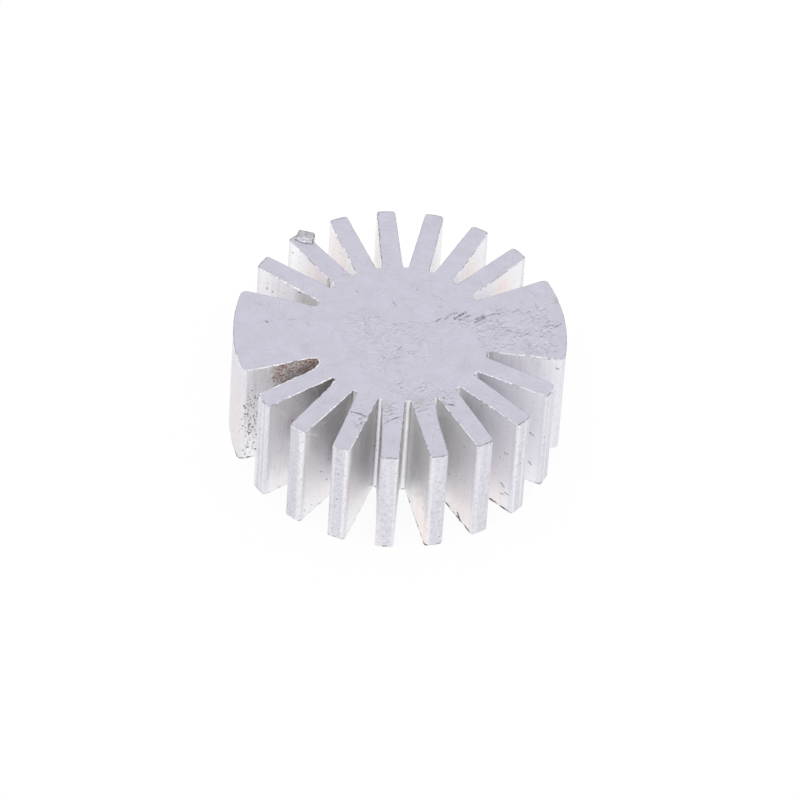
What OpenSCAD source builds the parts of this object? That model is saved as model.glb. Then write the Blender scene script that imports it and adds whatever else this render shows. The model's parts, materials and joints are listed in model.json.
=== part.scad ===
// Sunflower heat sink: one cut length of an aluminium extrusion. A solid core carries a ring
// of tapered fins and two wide wedges, and one fin tip keeps the nib where the saw broke out.

/* [Extrusion] */
// Diameter over the fin tips
outer_d = 25; // [20:0.5:40]
// Height of the cut length
height = 10; // [4:0.5:40]
// Diameter of the solid core, measured at the floor of the gaps
core_d = 13.5; // [12:0.25:16]
// Fillet where the side of a fin or a wedge meets the core
root_r = 0.15; // [0.05:0.01:0.25]

/* [Fins] */
// Thin fins in the arc behind the wedges
back_fins = 7; // [5:1:8]
// Thin fins in the arc in front of the wedges
front_fins = 8; // [5:1:9]
// Fin thickness where it leaves the core
fin_root_t = 1.6; // [0.8:0.05:1.7]
// Fin thickness at the rim
fin_tip_t = 1.4; // [0.8:0.05:2.4]
// Radius of the two upright corners of a fin tip
fin_tip_r = 0.25; // [0.05:0.05:0.35]

/* [Wedges] */
// Fin places that each wedge takes up in the ring
wedge_places = 3; // [3:1:4]
// Wedge width where it leaves the core
wedge_root_w = 5.2; // [3:0.1:5.4]
// Wedge width at the rim
wedge_rim_w = 8.2; // [5:0.1:9.5]
// Radius of the two upright corners of a wedge
wedge_rim_r = 0.45; // [0.1:0.05:1]

/* [Saw nib] */
// Back fin that keeps the nib, counted from the left wedge
nib_fin = 2; // [1:1:5]
// Distance from the rim to the torn face, along the middle of the fin
nib_depth = 0.73; // [0.6:0.01:1.2]
// Angle between the torn face and the middle line of the fin
nib_skew = 36; // [15:1:60]
// Width of the torn face
nib_w = 1.4; // [1:0.05:2]
// Width of the nib at its back
nib_back_w = 1.24; // [0.8:0.02:2]
// Thickness of the nib behind its torn face
nib_t = 0.7; // [0.6:0.02:1]
// Distance from the middle line of the fin to the middle of the torn face, along that face
nib_shift = 0.2; // [0:0.05:0.4]
// Radius of the two upright corners that hang over the fin's side
nib_r = 0.28; // [0.05:0.01:0.3]
// Height of the nib over the cut end
nib_h = 0.47; // [0.2:0.01:1]
// Depth that the nib's foot is sunk into the cut end
nib_foot = 0.1; // [0.05:0.05:0.3]

/* [Hidden] */

$fn = 96;

rim_r = outer_d / 2;
core_r = core_d / 2;

// The ring is divided into equal places: one for each fin, and several for each wedge
places = back_fins + front_fins + 2 * wedge_places;
pitch = 360 / places;

// The back fins are centred on +Y, and the front fins take up the arc between the wedges
first_back = 90 - (back_fins - 1) / 2 * pitch;
last_back = 90 + (back_fins - 1) / 2 * pitch;
first_front = 270 - (front_fins - 1) / 2 * pitch;
// Angle from the fin at the end of the back row to the middle of the wedge beside it
wedge_step = (wedge_places + 1) / 2 * pitch;

// A blade is a fin or a wedge: its width at the core, its width at the rim, its corner radius
fin = [fin_root_t, fin_tip_t, fin_tip_r];
wedge = [wedge_root_w, wedge_rim_w, wedge_rim_r];

// Rounds are this much over size, so that they cross the faces that they blend
round_lap = 1.01;
// How far the tools for the rounds reach past them, in radii
round_reach = 2;

// End of the nib's torn face that hangs over the fin's side, measured along that face
nib_over = -nib_shift - nib_w / 2;

// Upper end of a chord of the given width that stands across the X axis, in a circle about the origin
function chord_end(ring_r, width) = [sqrt(ring_r ^ 2 - width ^ 2 / 4), width / 2];

// Direction of a blade's upper side, from the core to the rim
function side_along(blade) =
    let (step = chord_end(rim_r, blade[1]) - chord_end(core_r, blade[0])) step / norm(step);

// Direction that the upper side faces, and how far from the origin the side lies that way
function side_out(blade) = let (along = side_along(blade)) [-along.y, along.x];
function side_offset(blade) = side_out(blade) * chord_end(core_r, blade[0]);

// Point at a distance ring_r from the origin, and at a given distance out from the upper side
function beside(blade, ring_r, out) =
    let (reach = side_offset(blade) + out)
    side_out(blade) * reach + side_along(blade) * sqrt(ring_r ^ 2 - reach ^ 2);

// A shape and its mirror image across the X axis
module both_sides() {
    children();
    mirror([0, 1]) children();
}

// What is left between two directions from the middle of a round, outside the round itself
module round_corner(middle, r, first, second) {
    reach = round_reach * r;
    translate(middle)
        difference() {
            polygon([[0, 0], first * reach, (first + second) * reach, second * reach]);
            circle(r = r * round_lap);
        }
}

// Plan of a fin or a wedge along +X, from inside the core to the rim. The straight sides run on
// past the rim by the blade's own width, and the rim circle trims them.
module blade_plan(blade) {
    out = side_out(blade);
    along = side_along(blade);
    inner = chord_end(core_r, blade[0]) - along * core_r / 2;
    outer = chord_end(rim_r, blade[1]) + along * blade[1];
    rim_middle = beside(blade, rim_r - blade[2], -blade[2]);
    root_middle = beside(blade, core_r + root_r, root_r);
    difference() {
        intersection() {
            polygon([inner, outer, [outer.x, -outer.y], [inner.x, -inner.y]]);
            circle(r = rim_r);
        }
        both_sides() round_corner(rim_middle, blade[2], out, rim_middle / norm(rim_middle));
    }
    both_sides() round_corner(root_middle, root_r, -out, -root_middle / norm(root_middle));
}

// Cross-section that the whole length is extruded from
module extrusion_plan() {
    circle(r = core_r);
    for (i = [0:back_fins - 1]) rotate(first_back + i * pitch) blade_plan(fin);
    for (i = [0:front_fins - 1]) rotate(first_front + i * pitch) blade_plan(fin);
    for (angle = [first_back - wedge_step, last_back + wedge_step]) rotate(angle) blade_plan(wedge);
}

// Plan of the nib, with its torn face along the X axis and the nib behind it, towards -Y
module nib_plan() {
    difference() {
        polygon([
            [nib_over, 0],
            [nib_over, -nib_t],
            [nib_over + nib_back_w, -nib_t],
            [nib_over + nib_w, 0],
        ]);
        round_corner([nib_over + nib_r, -nib_r], nib_r, [-1, 0], [0, 1]);
        round_corner([nib_over + nib_r, nib_r - nib_t], nib_r, [-1, 0], [0, -1]);
    }
}

// Torn tab that stands on a fin's end: its torn face slants across the fin
module saw_nib() {
    rotate(last_back - (nib_fin - 1) * pitch)
        translate([rim_r - nib_depth, 0, height - nib_foot])
            rotate(nib_skew) linear_extrude(nib_foot + nib_h) nib_plan();
}

module heat_sink() {
    color([0.80, 0.79, 0.84]) {
        linear_extrude(height) extrusion_plan();
        saw_nib();
    }
}

heat_sink();
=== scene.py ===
"""Sunflower heat sink: a saw-cut length of aluminium extrusion, dressed for the photograph's view."""

import json
import math

import bpy
import numpy as np
from mathutils import Matrix, Vector, kdtree
from mathutils.geometry import delaunay_2d_cdt


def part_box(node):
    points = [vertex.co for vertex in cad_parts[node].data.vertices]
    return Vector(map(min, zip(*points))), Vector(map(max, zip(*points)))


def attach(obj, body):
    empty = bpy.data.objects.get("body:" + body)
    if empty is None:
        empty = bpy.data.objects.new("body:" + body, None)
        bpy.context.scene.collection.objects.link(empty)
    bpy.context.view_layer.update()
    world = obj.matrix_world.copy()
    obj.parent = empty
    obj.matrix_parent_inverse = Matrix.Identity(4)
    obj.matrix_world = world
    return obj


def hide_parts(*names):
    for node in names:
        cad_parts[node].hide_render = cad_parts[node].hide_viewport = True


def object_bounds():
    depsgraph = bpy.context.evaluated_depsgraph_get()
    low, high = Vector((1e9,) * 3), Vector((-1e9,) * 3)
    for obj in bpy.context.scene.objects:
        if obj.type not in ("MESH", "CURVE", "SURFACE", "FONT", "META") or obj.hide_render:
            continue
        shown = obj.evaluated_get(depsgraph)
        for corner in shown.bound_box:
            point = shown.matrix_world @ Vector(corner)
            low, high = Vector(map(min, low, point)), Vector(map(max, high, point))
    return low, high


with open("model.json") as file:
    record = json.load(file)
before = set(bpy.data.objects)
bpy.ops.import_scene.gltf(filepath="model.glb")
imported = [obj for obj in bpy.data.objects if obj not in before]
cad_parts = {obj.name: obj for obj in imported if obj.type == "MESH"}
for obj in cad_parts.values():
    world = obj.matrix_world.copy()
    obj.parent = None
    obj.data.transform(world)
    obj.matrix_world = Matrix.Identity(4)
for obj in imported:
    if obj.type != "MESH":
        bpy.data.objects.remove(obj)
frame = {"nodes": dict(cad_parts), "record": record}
cad_low, cad_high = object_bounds()

NODE = "heat_sink"
MM = 0.001
SEED = 25
chance = np.random.default_rng(SEED)

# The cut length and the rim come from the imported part
mounts = {mount["name"]: mount for mount in frame["record"]["mounts"]}
top_z = mounts["led_face"]["pos_m"][2]
rim_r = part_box(NODE)[1].x

# Camera: the photograph's own place, found by fitting the part's edges to it
IMAGE_SIDE = 800  # px
SENSOR = 36.0  # mm
CAMERA_ELEVATION = math.radians(47.84)
CAMERA_ROLL = math.radians(3.88)
CAMERA_TURN = math.radians(7.91)  # the part's own turn about Z, seen from the camera
CAMERA_FOCAL = 8922.0  # px
CAMERA_DISTANCE = rim_r / 0.01873  # to the middle of the top face
TOP_MIDDLE = (400.22, 333.68)  # px, where the photograph shows that middle


def add_object(name, data):
    made = bpy.data.objects.new(name, data)
    bpy.context.scene.collection.objects.link(made)
    return made


right = Vector((math.cos(CAMERA_TURN), -math.sin(CAMERA_TURN), 0))
away = Vector((math.sin(CAMERA_TURN), math.cos(CAMERA_TURN), 0))
look = away * math.cos(CAMERA_ELEVATION) - Vector((0, 0, math.sin(CAMERA_ELEVATION)))
rise = right.cross(look)


def make_camera():
    """The camera, turned a little off the top's middle so that the framing needs no shift."""
    image_x = right * math.cos(CAMERA_ROLL) + rise * math.sin(CAMERA_ROLL)
    image_y = rise * math.cos(CAMERA_ROLL) - right * math.sin(CAMERA_ROLL)
    off_x = (TOP_MIDDLE[0] - IMAGE_SIDE / 2) / CAMERA_FOCAL
    off_y = (IMAGE_SIDE / 2 - TOP_MIDDLE[1]) / CAMERA_FOCAL
    axis = (look - image_x * off_x - image_y * off_y).normalized()
    image_x = (image_x - axis * image_x.dot(axis)).normalized()
    image_y = image_x.cross(axis)
    data = bpy.data.cameras.new("photo_camera")
    data.sensor_width = SENSOR
    data.lens = CAMERA_FOCAL * SENSOR / IMAGE_SIDE
    data.clip_start = CAMERA_DISTANCE / 100
    data.clip_end = CAMERA_DISTANCE * 100
    camera = add_object("photo_camera", data)
    turn = Matrix((image_x, image_y, -axis)).transposed()
    place = Vector((0, 0, top_z)) - look * CAMERA_DISTANCE
    camera.matrix_world = Matrix.Translation(place) @ turn.to_4x4()
    bpy.context.scene.camera = camera


class Wire:
    """A node's output, which takes arithmetic as a number does. Each step of it adds a node."""

    def __init__(self, graph, socket):
        self.graph, self.socket = graph, socket

    def __mul__(self, other):
        return self.graph.math("MULTIPLY", self, other)

    def __add__(self, other):
        return self.graph.math("ADD", self, other)

    def __sub__(self, other):
        return self.graph.math("SUBTRACT", self, other)

    def __rsub__(self, other):
        return self.graph.math("SUBTRACT", other, self)

    def most(self, other):
        return self.graph.math("MAXIMUM", self, other)

    def moved(self, x, y):
        return self.graph.vector("ADD", self, (x, y, 0))

    def reach(self, low, high, to_low=0.0, to_high=1.0):
        """A smooth step of the value from low to high."""
        inputs = {"Value": self, "From Min": low, "From Max": high, "To Min": to_low, "To Max": to_high}
        return self.graph.add("MapRange", inputs, interpolation_type="SMOOTHSTEP")


class Graph:
    """One material's nodes, with the base colour that has been painted so far."""

    def __init__(self, name):
        self.material = bpy.data.materials.new(name)
        self.material.use_nodes = True
        self.tree = self.material.node_tree
        self.tree.nodes.clear()
        self.base = None

    def node(self, kind, inputs=None, **settings):
        node = self.tree.nodes.new("ShaderNode" + kind)
        for name, value in settings.items():
            setattr(node, name, value)
        for key, value in (inputs or {}).items():
            if isinstance(value, Wire):
                self.tree.links.new(value.socket, node.inputs[key])
            else:
                node.inputs[key].default_value = value
        return node

    def wire(self, node, out):
        return Wire(self, node.outputs[out])

    def add(self, kind, inputs=None, out=0, **settings):
        return self.wire(self.node(kind, inputs, **settings), out)

    def math(self, operation, a, b=0.0, clamp=False):
        return self.add("Math", {0: a, 1: b}, operation=operation, use_clamp=clamp)

    def vector(self, operation, a, b=(0, 0, 0), out="Vector"):
        return self.add("VectorMath", {0: a, 1: b}, out, operation=operation)

    def millimetres(self):
        return self.vector("MULTIPLY", self.add("TexCoord", out="Object"), (1 / MM,) * 3)

    def attribute(self, name):
        return self.add("Attribute", out="Fac", attribute_name=name, attribute_type="GEOMETRY")

    def scaled(self, vector, factor):
        return self.add("VectorMath", {0: vector, "Scale": factor}, operation="SCALE")

    def join(self, x, y):
        return self.add("CombineXYZ", {0: x, 1: y})

    def split(self, vector):
        node = self.node("SeparateXYZ", {0: vector})
        return [self.wire(node, axis) for axis in range(3)]

    def cells(self, vector, size):
        """Random cells of about that size in the plan, as a node."""
        return self.node("TexVoronoi", {"Vector": vector, "Scale": 1 / size}, voronoi_dimensions="2D")

    def noise(self, vector, scale, detail=2.0, roughness=0.5, distortion=0.0, out=0):
        inputs = {"Vector": vector, "Scale": scale, "Detail": detail, "Roughness": roughness,
                  "Distortion": distortion}
        return self.add("TexNoise", inputs, out)

    def bent(self, vector, scale, reach):
        """The same place, pushed about by a noise of that scale."""
        return self.vector("ADD", vector, self.scaled(self.noise(vector, scale, out="Color"), reach))

    def blend(self, factor, a, b):
        return self.add("Mix", {0: factor, 6: a, 7: b}, 2, data_type="RGBA")

    def paint(self, factor, *shade):
        """Lays a colour over the base."""
        self.base = self.blend(factor, self.base, colour(*shade))

    def finish(self, shader):
        self.tree.links.new(shader.socket, self.node("OutputMaterial").inputs["Surface"])
        return self.material

    def metal(self, roughness, metallic=1.0, height=None, strength=0.0, depth=0.0):
        """The finished material: the base colour as metal, with a bump of that height."""
        inputs = {"Base Color": self.base, "Metallic": metallic, "Roughness": roughness}
        if height is not None:
            inputs["Normal"] = self.add("Bump", {"Strength": strength, "Distance": depth, "Height": height})
        return self.finish(self.add("BsdfPrincipled", inputs))


def colour(red, green, blue):
    """A colour written as it is seen, 0 to 255, as the linear value that a shader takes."""
    def linear(level):
        level /= 255
        return level / 12.92 if level <= 0.04045 else ((level + 0.055) / 1.055) ** 2.4
    return (linear(red), linear(green), linear(blue), 1.0)


WHITE = (255, 255, 255)


# Stage: a white floor that keeps a faint shadow, and even white light
FLOOR_SIDE = 3.0
FLOOR_SHADE = 0.08  # the share of the floor's white that the shadow can take
FLOOR_WHITE = 0.85  # how much light the floor throws back onto the object
WORLD_LIGHT = 1.0
KEY_POWER = 0.5
KEY_SIZE = 0.6
KEY_DISTANCE = 0.6
KEY_ELEVATION = math.radians(52)
FLOOR_DROP = 0.01 * MM  # the floor's distance below the part, so that the two faces don't fight


def make_stage():
    graph = Graph("white_floor")
    path = graph.node("LightPath")
    shade = graph.add("BsdfDiffuse", {"Color": (FLOOR_SHADE, FLOOR_SHADE, FLOOR_SHADE, 1)})
    glow = graph.add("Emission", {"Color": (1, 1, 1, 1), "Strength": 1 - FLOOR_SHADE})
    shown = graph.add("AddShader", {0: shade, 1: glow})
    plain = graph.add("BsdfDiffuse", {"Color": (FLOOR_WHITE, FLOOR_WHITE, FLOOR_WHITE, 1)})
    # The floor's own white shows to the camera, in reflections and through glass
    seen = graph.wire(path, "Is Camera Ray").most(graph.wire(path, "Is Glossy Ray"))
    seen = seen.most(graph.wire(path, "Is Transmission Ray"))
    floor_material = graph.finish(graph.add("MixShader", {0: seen, 1: plain, 2: shown}))
    bpy.ops.mesh.primitive_plane_add(size=FLOOR_SIDE, location=(0, 0, cad_low.z - FLOOR_DROP))
    floor = bpy.context.object
    floor.name = "floor"
    floor.data.materials.append(floor_material)

    world = bpy.data.worlds.new("white_room")
    world.use_nodes = True
    background = world.node_tree.nodes["Background"].inputs
    background["Color"].default_value = (1, 1, 1, 1)
    background["Strength"].default_value = WORLD_LIGHT
    bpy.context.scene.world = world

    data = bpy.data.lights.new("key_light", "AREA")
    data.energy = KEY_POWER
    data.size = KEY_SIZE
    key = add_object("key_light", data)
    aim = away * math.cos(KEY_ELEVATION) - Vector((0, 0, math.sin(KEY_ELEVATION)))
    key.location = -aim * KEY_DISTANCE
    key.rotation_euler = aim.to_track_quat("-Z", "Y").to_euler()
    bpy.context.scene.view_settings.view_transform = "Standard"


# Outline of the extrusion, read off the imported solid
FINE_STEP = 0.02 * MM
SMOOTHING = 0.05 * MM
FLAT_STEP = 0.105 * MM
ROUND_STEP = 0.045 * MM
TIGHT_ROUND = 1.2 * MM  # a bend tighter than this is stepped finely
RIM_TOLERANCE = 0.015 * MM
BEND_SPAN = 5  # fine steps to each side over which a bend is averaged


def trace_outline(mesh, height):
    """The closed line round the flat face at that height, counter-clockwise."""
    mesh.calc_loop_triangles()
    points, index_of, used = [], {}, {}

    def index(vertex):
        key = (round(vertex.co.x / FINE_STEP * 100), round(vertex.co.y / FINE_STEP * 100))
        if key not in index_of:
            index_of[key] = len(points)
            points.append(vertex.co.xy.to_tuple())
        return index_of[key]

    for triangle in mesh.loop_triangles:
        corners = [mesh.vertices[i] for i in triangle.vertices]
        if all(abs(corner.co.z - height) < FINE_STEP / 10 for corner in corners):
            a, b, c = (index(corner) for corner in corners)
            for start, end in ((a, b), (b, c), (c, a)):
                used[start, end] = True
    follows = {start: end for start, end in used if (end, start) not in used}
    at = first = next(iter(follows))
    order = []
    while True:
        order.append(at)
        at = follows[at]
        if at == first:
            break
    line = np.array([points[i] for i in order])
    x, y = line.T
    turning = np.sum(x * np.roll(y, -1) - y * np.roll(x, -1))
    return line if turning > 0 else line[::-1]


def walk(line, places):
    """Points at those distances along a closed line."""
    closed = np.vstack([line, line[:1]])
    travelled = np.concatenate([[0], np.cumsum(np.linalg.norm(np.diff(closed, axis=0), axis=1))])
    return np.column_stack([np.interp(places, travelled, closed[:, k]) for k in (0, 1)])


def length_of(line):
    return np.linalg.norm(np.roll(line, -1, 0) - line, axis=1).sum()


def refine(line):
    """The outline with smooth rounds, stepped finely where it bends: points, outward normals, distances."""
    count = round(length_of(line) / FINE_STEP)
    fine = walk(line, np.arange(count) * length_of(line) / count)
    radius = np.linalg.norm(fine, axis=1)
    on_rim = np.abs(radius - rim_r) < RIM_TOLERANCE
    fine[on_rim] *= (rim_r / radius[on_rim])[:, None]
    wave = np.fft.fft(fine[:, 0] + 1j * fine[:, 1])
    wave *= np.exp(-2 * (np.pi * np.fft.fftfreq(count) * SMOOTHING / FINE_STEP) ** 2)
    along = np.fft.ifft(wave * 2j * np.pi * np.fft.fftfreq(count))
    smooth = np.fft.ifft(wave)
    turn = np.unwrap(np.angle(along))
    bend = np.abs(np.gradient(turn)) / FINE_STEP
    span = 2 * BEND_SPAN + 1
    near = np.convolve(np.pad(bend, BEND_SPAN, mode="wrap"), np.ones(span) / span, mode="valid")
    step = np.where(near > 1 / TIGHT_ROUND, ROUND_STEP, FLAT_STEP)
    effort = np.concatenate([[0], np.cumsum(FINE_STEP / step)])
    total = int(effort[-1])
    steps = np.arange(count + 1)
    at = np.interp(np.arange(total) * effort[-1] / total, effort, steps)
    closed = np.append(smooth, smooth[0])
    turns = np.append(turn, turn[0] + 2 * np.pi)
    x, y, facing = (np.interp(at, steps, values) for values in (closed.real, closed.imag, turns))
    return np.column_stack([x, y]), np.column_stack([np.sin(facing), -np.cos(facing)]), at * FINE_STEP


def heading(angle):
    """A step of 1 in the plan, at that angle about Z."""
    return np.array([math.cos(angle), math.sin(angle)])


def unit(vectors):
    return vectors / np.linalg.norm(vectors, axis=1)[:, None]


def bearing_of(points):
    """Each point's angle about Z, in degrees."""
    return np.degrees(np.arctan2(points[:, 1], points[:, 0])) % 360


def move_sides(points, normals):
    """The outline with a few sides moved at their roots."""
    bearing = bearing_of(points)
    share_out = np.linalg.norm(points, axis=1) / rim_r
    root = share_out.min()
    for limits, angle, most, end, least in MOVED_SIDES:
        side = heading(math.radians(angle))
        share = step_up(normals @ side, *SAME_SIDE) * np.clip((end - share_out) / (end - root), 0, 1)
        share *= least + (1 - least) * step_up(share_out, root, root + GAP_END)
        share *= within(bearing, limits)
        points = points - side * (most * share)[:, None]
    return points


def random_line(places, whole, pitch):
    """A smooth random value from -1 to 1 along a closed line, with a new one at each pitch."""
    count = max(3, round(whole / pitch))
    values = chance.uniform(-1, 1, count)
    at = places / whole * count
    low = np.floor(at).astype(int)
    share = at - low
    share = share * share * (3 - 2 * share)
    return values[low % count] * (1 - share) + values[(low + 1) % count] * share


def within(values, limits):
    return (values > limits[0]) & (values < limits[1])


def step_up(value, low, high):
    """A smooth step from 0 at low to 1 at high."""
    share = np.clip((value - low) / (high - low), 0, 1)
    return share * share * (3 - 2 * share)


# Edges: a saw burr on the top edges that face the camera's side, slight wear and nicks on the rest
BURR_OUT = 0.08 * MM
BURR_UP = 0.05 * MM
BURR_USUAL = 0.66  # the share of a full burr that its ragged line varies about
BURR_MOST = 1.5
BURR_SHOWN = 0.22  # below this share of a full burr the edge counts as clean
BURR_START = 0.09 * MM  # how far below the top the edge begins
EDGE_WEAR = 0.03 * MM
FOOT_WEAR = 0.03 * MM
FOOT_LINE = 0.1 * MM  # height of the painted shadow line along the bottom edge
ROUGH_FOOT_LINE = 0.18 * MM  # and where that edge is roughest
NICK_COUNT = 170
RAGGED_NICKS = 34
NICK_DEPTH = 0.06 * MM
NICK_WIDTH = (0.06 * MM, 0.2 * MM)
CAP_INSET = 0.12 * MM
TOP_STEP = 0.24 * MM
BASE_STEP = 0.45 * MM
GRID_JITTER = 0.15  # share of the step by which the filling points are out of line
DIE_LINES = ((1.6 * MM, 0.004 * MM), (0.5 * MM, 0.003 * MM), (0.21 * MM, 0.0025 * MM))
SIDE_LEVELS = 13
SIDE_END = 0.2 * MM  # the highest of them is this far below the top
WEDGE_HALF = 4.6 * MM  # half the width of a wedge's rim, measured along Y

# Places that differ from the rest, as ranges of the angle about Z in degrees
THIN_REAR = (98, 132)  # rear fins with little burr
FRONT_FALL = (233, 244)  # from left to right, where the front fins' burr falls off
FRONT_RISE = (284, 298)  # and where it grows again
LAST_TIP = (329, 334)  # the tip of the front fin beside the right wedge
FIRST_FIN = (196, 211)  # the far side of the front fin beside the left wedge
LEFT_GAPS = (196, 224)  # the gaps on both sides of that fin
THICK_BURR = (212, 219)  # the second of them
LEFT_CORNER = (190.5, 196.5)  # the left wedge's front corner
NEAR_GAP = (262, 280)  # the gap that the camera looks into
LONG_FOOT_END = 298  # front fins up to this angle have the longer dark line at the foot

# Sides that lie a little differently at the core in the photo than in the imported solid: the side's range of
# angles about Z, the angle that it faces, how far it is drawn back at the root (below zero, pushed out), the
# share of the rim's radius where that ends, and the share of it that the very end of the gap takes
MOVED_SIDES = (
    ((194, 208), 281, 0.13 * MM, 0.8, 0.15),
    ((194, 208), 120, 0.29 * MM, 1.0, 0.15),
    ((212, 220), 299, -0.09 * MM, 0.85, 0.4),
    ((233, 241), 154, -0.08 * MM, 0.8, 1.0),
    ((250, 258), 171, -0.15 * MM, 0.8, 1.0),
    ((282, 290), 9, -0.18 * MM, 0.72, 1.0),
)
SAME_SIDE = (0.2, 0.95)  # how far a normal has to agree with the angle that the side faces
GAP_END = 0.06  # depth of a gap's very end, as a share of the rim's radius

# Nib: the torn tab that the saw left on one rear fin. Ranges are from its middle, as the camera sees it
NIB_LEAST = 0.01 * MM  # the solid's points higher than this above the top are the nib's
NIB_SINK = 0.1 * MM  # how far its foot goes down into the fin
NIB_STEP = 0.05 * MM
NIB_TILT = 0.22 * MM  # how much lower its near left corner is
NIB_LEFT = (-0.8 * MM, 0.1 * MM)  # where that corner ends to the right
NIB_NEAR = (-0.2 * MM, 0.4 * MM)  # and to the back
NIB_SKIRT = 0.15 * MM  # how far the foot of its torn face bulges out
SKIRT_START = (-0.8 * MM, -0.2 * MM)
SKIRT_END = (0.4 * MM, 0.7 * MM)
NIB_SHADE = (0.01 * MM, 0.08 * MM)  # heights between which the painted shadow at its foot fades
NIB_ROUND = 0.03 * MM
NIB_ROUGH = 0.015 * MM
NIB_INSET = 0.12 * MM
NIB_LEVELS = 6

# Curl: a hair of metal on the bottom edge of a front fin, as points in mm from its loose end
CURL = ((3.85, -9.73, 0.65), (3.93, -9.91, 0.37), (4.01, -10.06, 0.20), (4.02, -10.09, 0.04))
CURL_R = 0.028 * MM
CURL_TAPER = (0.7, 1.0, 1.0, 0.8)  # share of that radius at each point
CURL_SIDES = 8
CURL_FIN = (0.45, -0.89, 0.0)  # the way that its fin points

# Scratches on the top face: width in mm, darkness, then the points that each runs through, in mm
SCRATCHES = (
    (0.07, 0.9, (2.8, 1.1), (3.2, 1.4)), (0.1, 0.6, (3.4, 1.2), (4, 1.8), (4.5, 1.9)),
    (0.12, 0.8, (4.2, 1.3), (4.6, 1.6), (5.1, 1.9)), (0.11, 0.7, (4.6, 1.2), (5, 1.4), (5.4, 1.6)),
    (0.06, 0.6, (5.3, 1), (5.8, 1.2)), (0.24, 0.9, (5.9, 1.1), (6.5, 1.4)),
    (0.07, 0.9, (5.7, 0.9), (6.1, 1.1)), (0.07, 0.7, (6.5, 1.4), (7, 1.6), (7.7, 1.7)),
    (0.12, 0.5, (6.6, 1), (7, 0.9)), (0.1, 0.5, (7.3, 1.1), (7.5, 0.8)),
    (0.1, 0.6, (8.6, 1.8), (9.1, 1.9)), (0.07, 0.4, (8.8, 0.6), (9.4, 0.9), (10.1, 1.3)),
    (0.11, 0.6, (8, 0), (8.4, -0.2)), (0.08, 0.5, (8.4, -0.2), (8.9, -0.4), (9.5, -0.5)),
    (0.06, 0.5, (10.4, 2.6), (10.5, 2), (10.8, 1.7), (11.3, 2.2)), (0.05, 0.4, (10, 4), (10.6, 3.3)),
    (0.06, 0.8, (11.7, 0.1), (12.1, 0.4)), (0.06, 0.5, (10.4, -0.8), (11.2, -0.3), (11.5, -0.7)),
    (0.07, 0.9, (-4.4, -7.6), (-4, -7.7), (-3.6, -7.9), (-3.2, -8.2)),
    (0.07, 0.7, (-2.1, -9), (-1.7, -8.7), (-1.3, -8.5), (-0.6, -8.2)),
    (0.15, 0.6, (-2.1, -8.9), (-1.7, -8.7)), (0.06, 0.6, (0.5, -7.9), (1.6, -7.5)),
    (0.08, 0.8, (2.6, -6.5), (2.8, -6.7)), (0.08, 0.8, (2.5, -6.8), (2.8, -7.2), (3.4, -7.3)),
    (0.12, 0.6, (-3.7, -8.7), (-3.6, -9)), (0.04, 0.4, (-4.2, 2.8), (-3.7, 2.4), (-3.2, 2)),
    (0.05, 0.5, (-2.6, 1.7), (-2.5, 1.1), (-2.6, 0.5)),
    (0.05, 0.4, (-3.3, 0.9), (-2.7, 0.8), (-2.1, 0.5)), (0.05, 0.3, (0.2, 2.2), (0.5, 1.7), (0.6, 1.5)),
    (0.05, 0.5, (0.8, 1.2), (1.3, 1.1), (1.7, 0.9)), (0.05, 0.5, (2.1, 0.9), (2.4, 1), (2.8, 1.2)),
    (0.05, 0.5, (-0.5, 1), (0.2, 1.1), (0.6, 0.9)), (0.04, -0.6, (1.8, -1.1), (1.8, -2), (1.9, -2.9)),
    (0.06, 0.6, (-2.9, 4.5), (-2.8, 4.3)), (0.06, 0.6, (-0.3, 3.3), (-0.1, 2.9)),
    (0.06, 0.6, (1.6, 4.3), (1.8, 4.6)), (0.06, 0.5, (2.6, 4), (3, 3.6)),
    (0.07, 0.5, (-1.6, -2.3), (-1.1, -2.4)), (0.07, 0.6, (-0.7, -2.4), (-0.2, -2.3)),
    (0.07, 0.6, (-0.3, -1.6), (0, -1.3)), (0.06, 0.5, (1.4, -4.8), (1.5, -4.9)),
    (0.09, 0.7, (-10, 1.8), (-9.8, 1.6)), (0.05, 0.5, (-8.2, 1.8), (-7.8, 1.8)),
    (0.06, 0.5, (-10.4, 3.6), (-10.2, 3.4)), (0.05, 0.25, (-11.1, 2.3), (-11, 1.6), (-11.1, 0.9)),
    (0.06, 0.35, (-10.5, -1.2), (-9.9, -1.1), (-9.1, -1)),
    (0.05, 0.25, (-7.5, 1.9), (-6.9, 2), (-6.2, 1.8)), (0.05, 0.2, (-5.8, 2.1), (-4.9, 2.1)),
    (0.05, 0.35, (-5.6, 0.5), (-5.1, 0.1)), (0.06, 0.6, (8.4, -5.6), (9.1, -6), (9.6, -6.3)),
)
SCRATCH_STEP = 0.06 * MM
SCRATCH_DEPTH = 0.008 * MM
STRAY_MARKS = 110
STRAY_LENGTH = (0.1, 0.45)  # mm
STRAY_DARKNESS = (0.2, 0.55)
PALE_SHARE = 0.3  # of the stray and hatched marks, the share that is bright
MARK_WIDTH = (0.035, 0.065)  # mm, of those marks
MARK_WANDER = 0.015 * MM  # how far a mark strays from its line
MARK_FIRMNESS = (0.45, 1.0)  # how much its depth varies along it
GROOVE = ((-1.5, 0), (-0.7, 0.75), (0, 1), (0.7, 0.75), (1.5, 0))  # across a mark: shares of width and depth
MARK_GAP = 0.1 * MM  # they keep this far from the scratches, and plain points from both
RING_GAP = 0.04 * MM  # and all marks keep this far from the edge

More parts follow.
